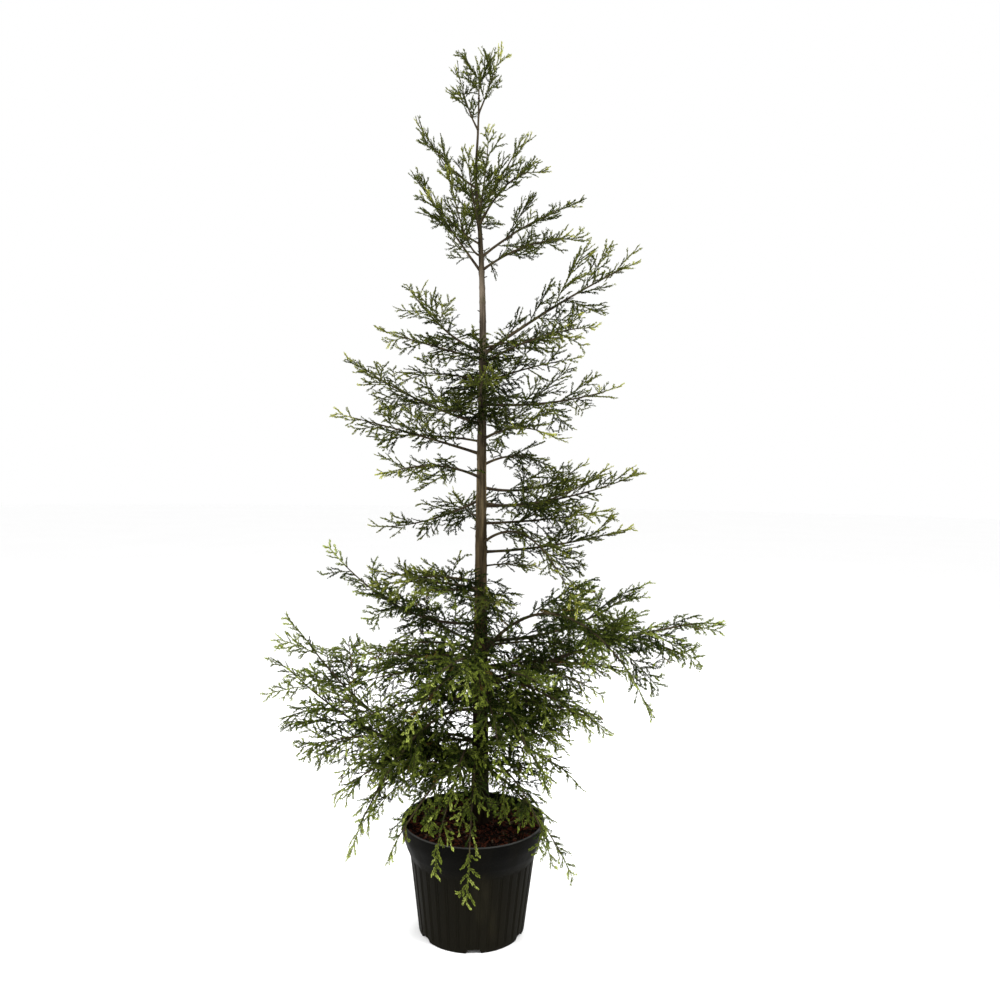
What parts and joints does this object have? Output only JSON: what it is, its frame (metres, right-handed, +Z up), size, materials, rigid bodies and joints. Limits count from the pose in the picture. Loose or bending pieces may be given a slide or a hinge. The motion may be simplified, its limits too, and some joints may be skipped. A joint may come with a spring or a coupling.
{
  "type": "potted coast redwood tree",
  "caption": "Slender young conifer in a round tapered nursery pot, with a whole trunk, tapering boughs and open masses of needle sprays.",
  "frame": {"origin": "middle of the pot's flat underside", "axes": "+Z up along the trunk, -Y towards the viewer of the picture, +X to that viewer's right"},
  "size_m": [1.6016, 1.2128, 2.9783],
  "materials": {
    "pot": "matte, dusty",
    "soil": "damp bark mulch",
    "bark": "fibrous, fissured",
    "bough_bark": "smooth young bark",
    "needles": "satin needles"
  },
  "bodies": {
    "root": {"bough_lower_1": "bough_bark", "bough_lower_12": "bough_bark", "bough_lower_13": "bough_bark", "bough_lower_14": "bough_bark", "bough_lower_2": "bough_bark", "bough_lower_3": "bough_bark", "bough_lower_5": "bough_bark", "bough_lower_7": "bough_bark", "bough_lower_8": "bough_bark", "bough_lower_9": "bough_bark", "bough_middle_1": "bough_bark", "bough_middle_10": "bough_bark", "bough_middle_11": "bough_bark", "bough_middle_3": "bough_bark", "bough_middle_5": "bough_bark", "bough_middle_6": "bough_bark", "bough_middle_8": "bough_bark", "mass_lower_1": "needles", "mass_lower_10": "needles", "mass_lower_11": "needles", "mass_lower_12": "needles", "mass_lower_13": "needles", "mass_lower_14": "needles", "mass_lower_15": "needles", "mass_lower_2": "needles", "mass_lower_3": "needles", "mass_lower_4": "needles", "mass_lower_5": "needles", "mass_lower_6": "needles", "mass_lower_7": "needles", "mass_lower_8": "needles", "mass_lower_9": "needles", "mass_middle_1": "needles", "mass_middle_10": "needles", "mass_middle_11": "needles", "mass_middle_12": "needles", "mass_middle_13": "needles", "mass_middle_14": "needles", "mass_middle_15": "needles", "mass_middle_2": "needles", "mass_middle_3": "needles", "mass_middle_4": "needles", "mass_middle_5": "needles", "mass_middle_6": "needles", "mass_middle_7": "needles", "mass_middle_8": "needles", "mass_middle_9": "needles", "mass_top": "needles", "mass_upper_1": "needles", "mass_upper_2": "needles", "mass_upper_3": "needles", "mass_upper_4": "needles", "mass_upper_5": "needles", "mass_upper_6": "needles", "mass_upper_7": "needles", "mass_upper_8": "needles", "mass_upper_9": "needles", "pot": "pot", "soil": "soil", "trunk": "bark"}
  },
  "joints": []
}
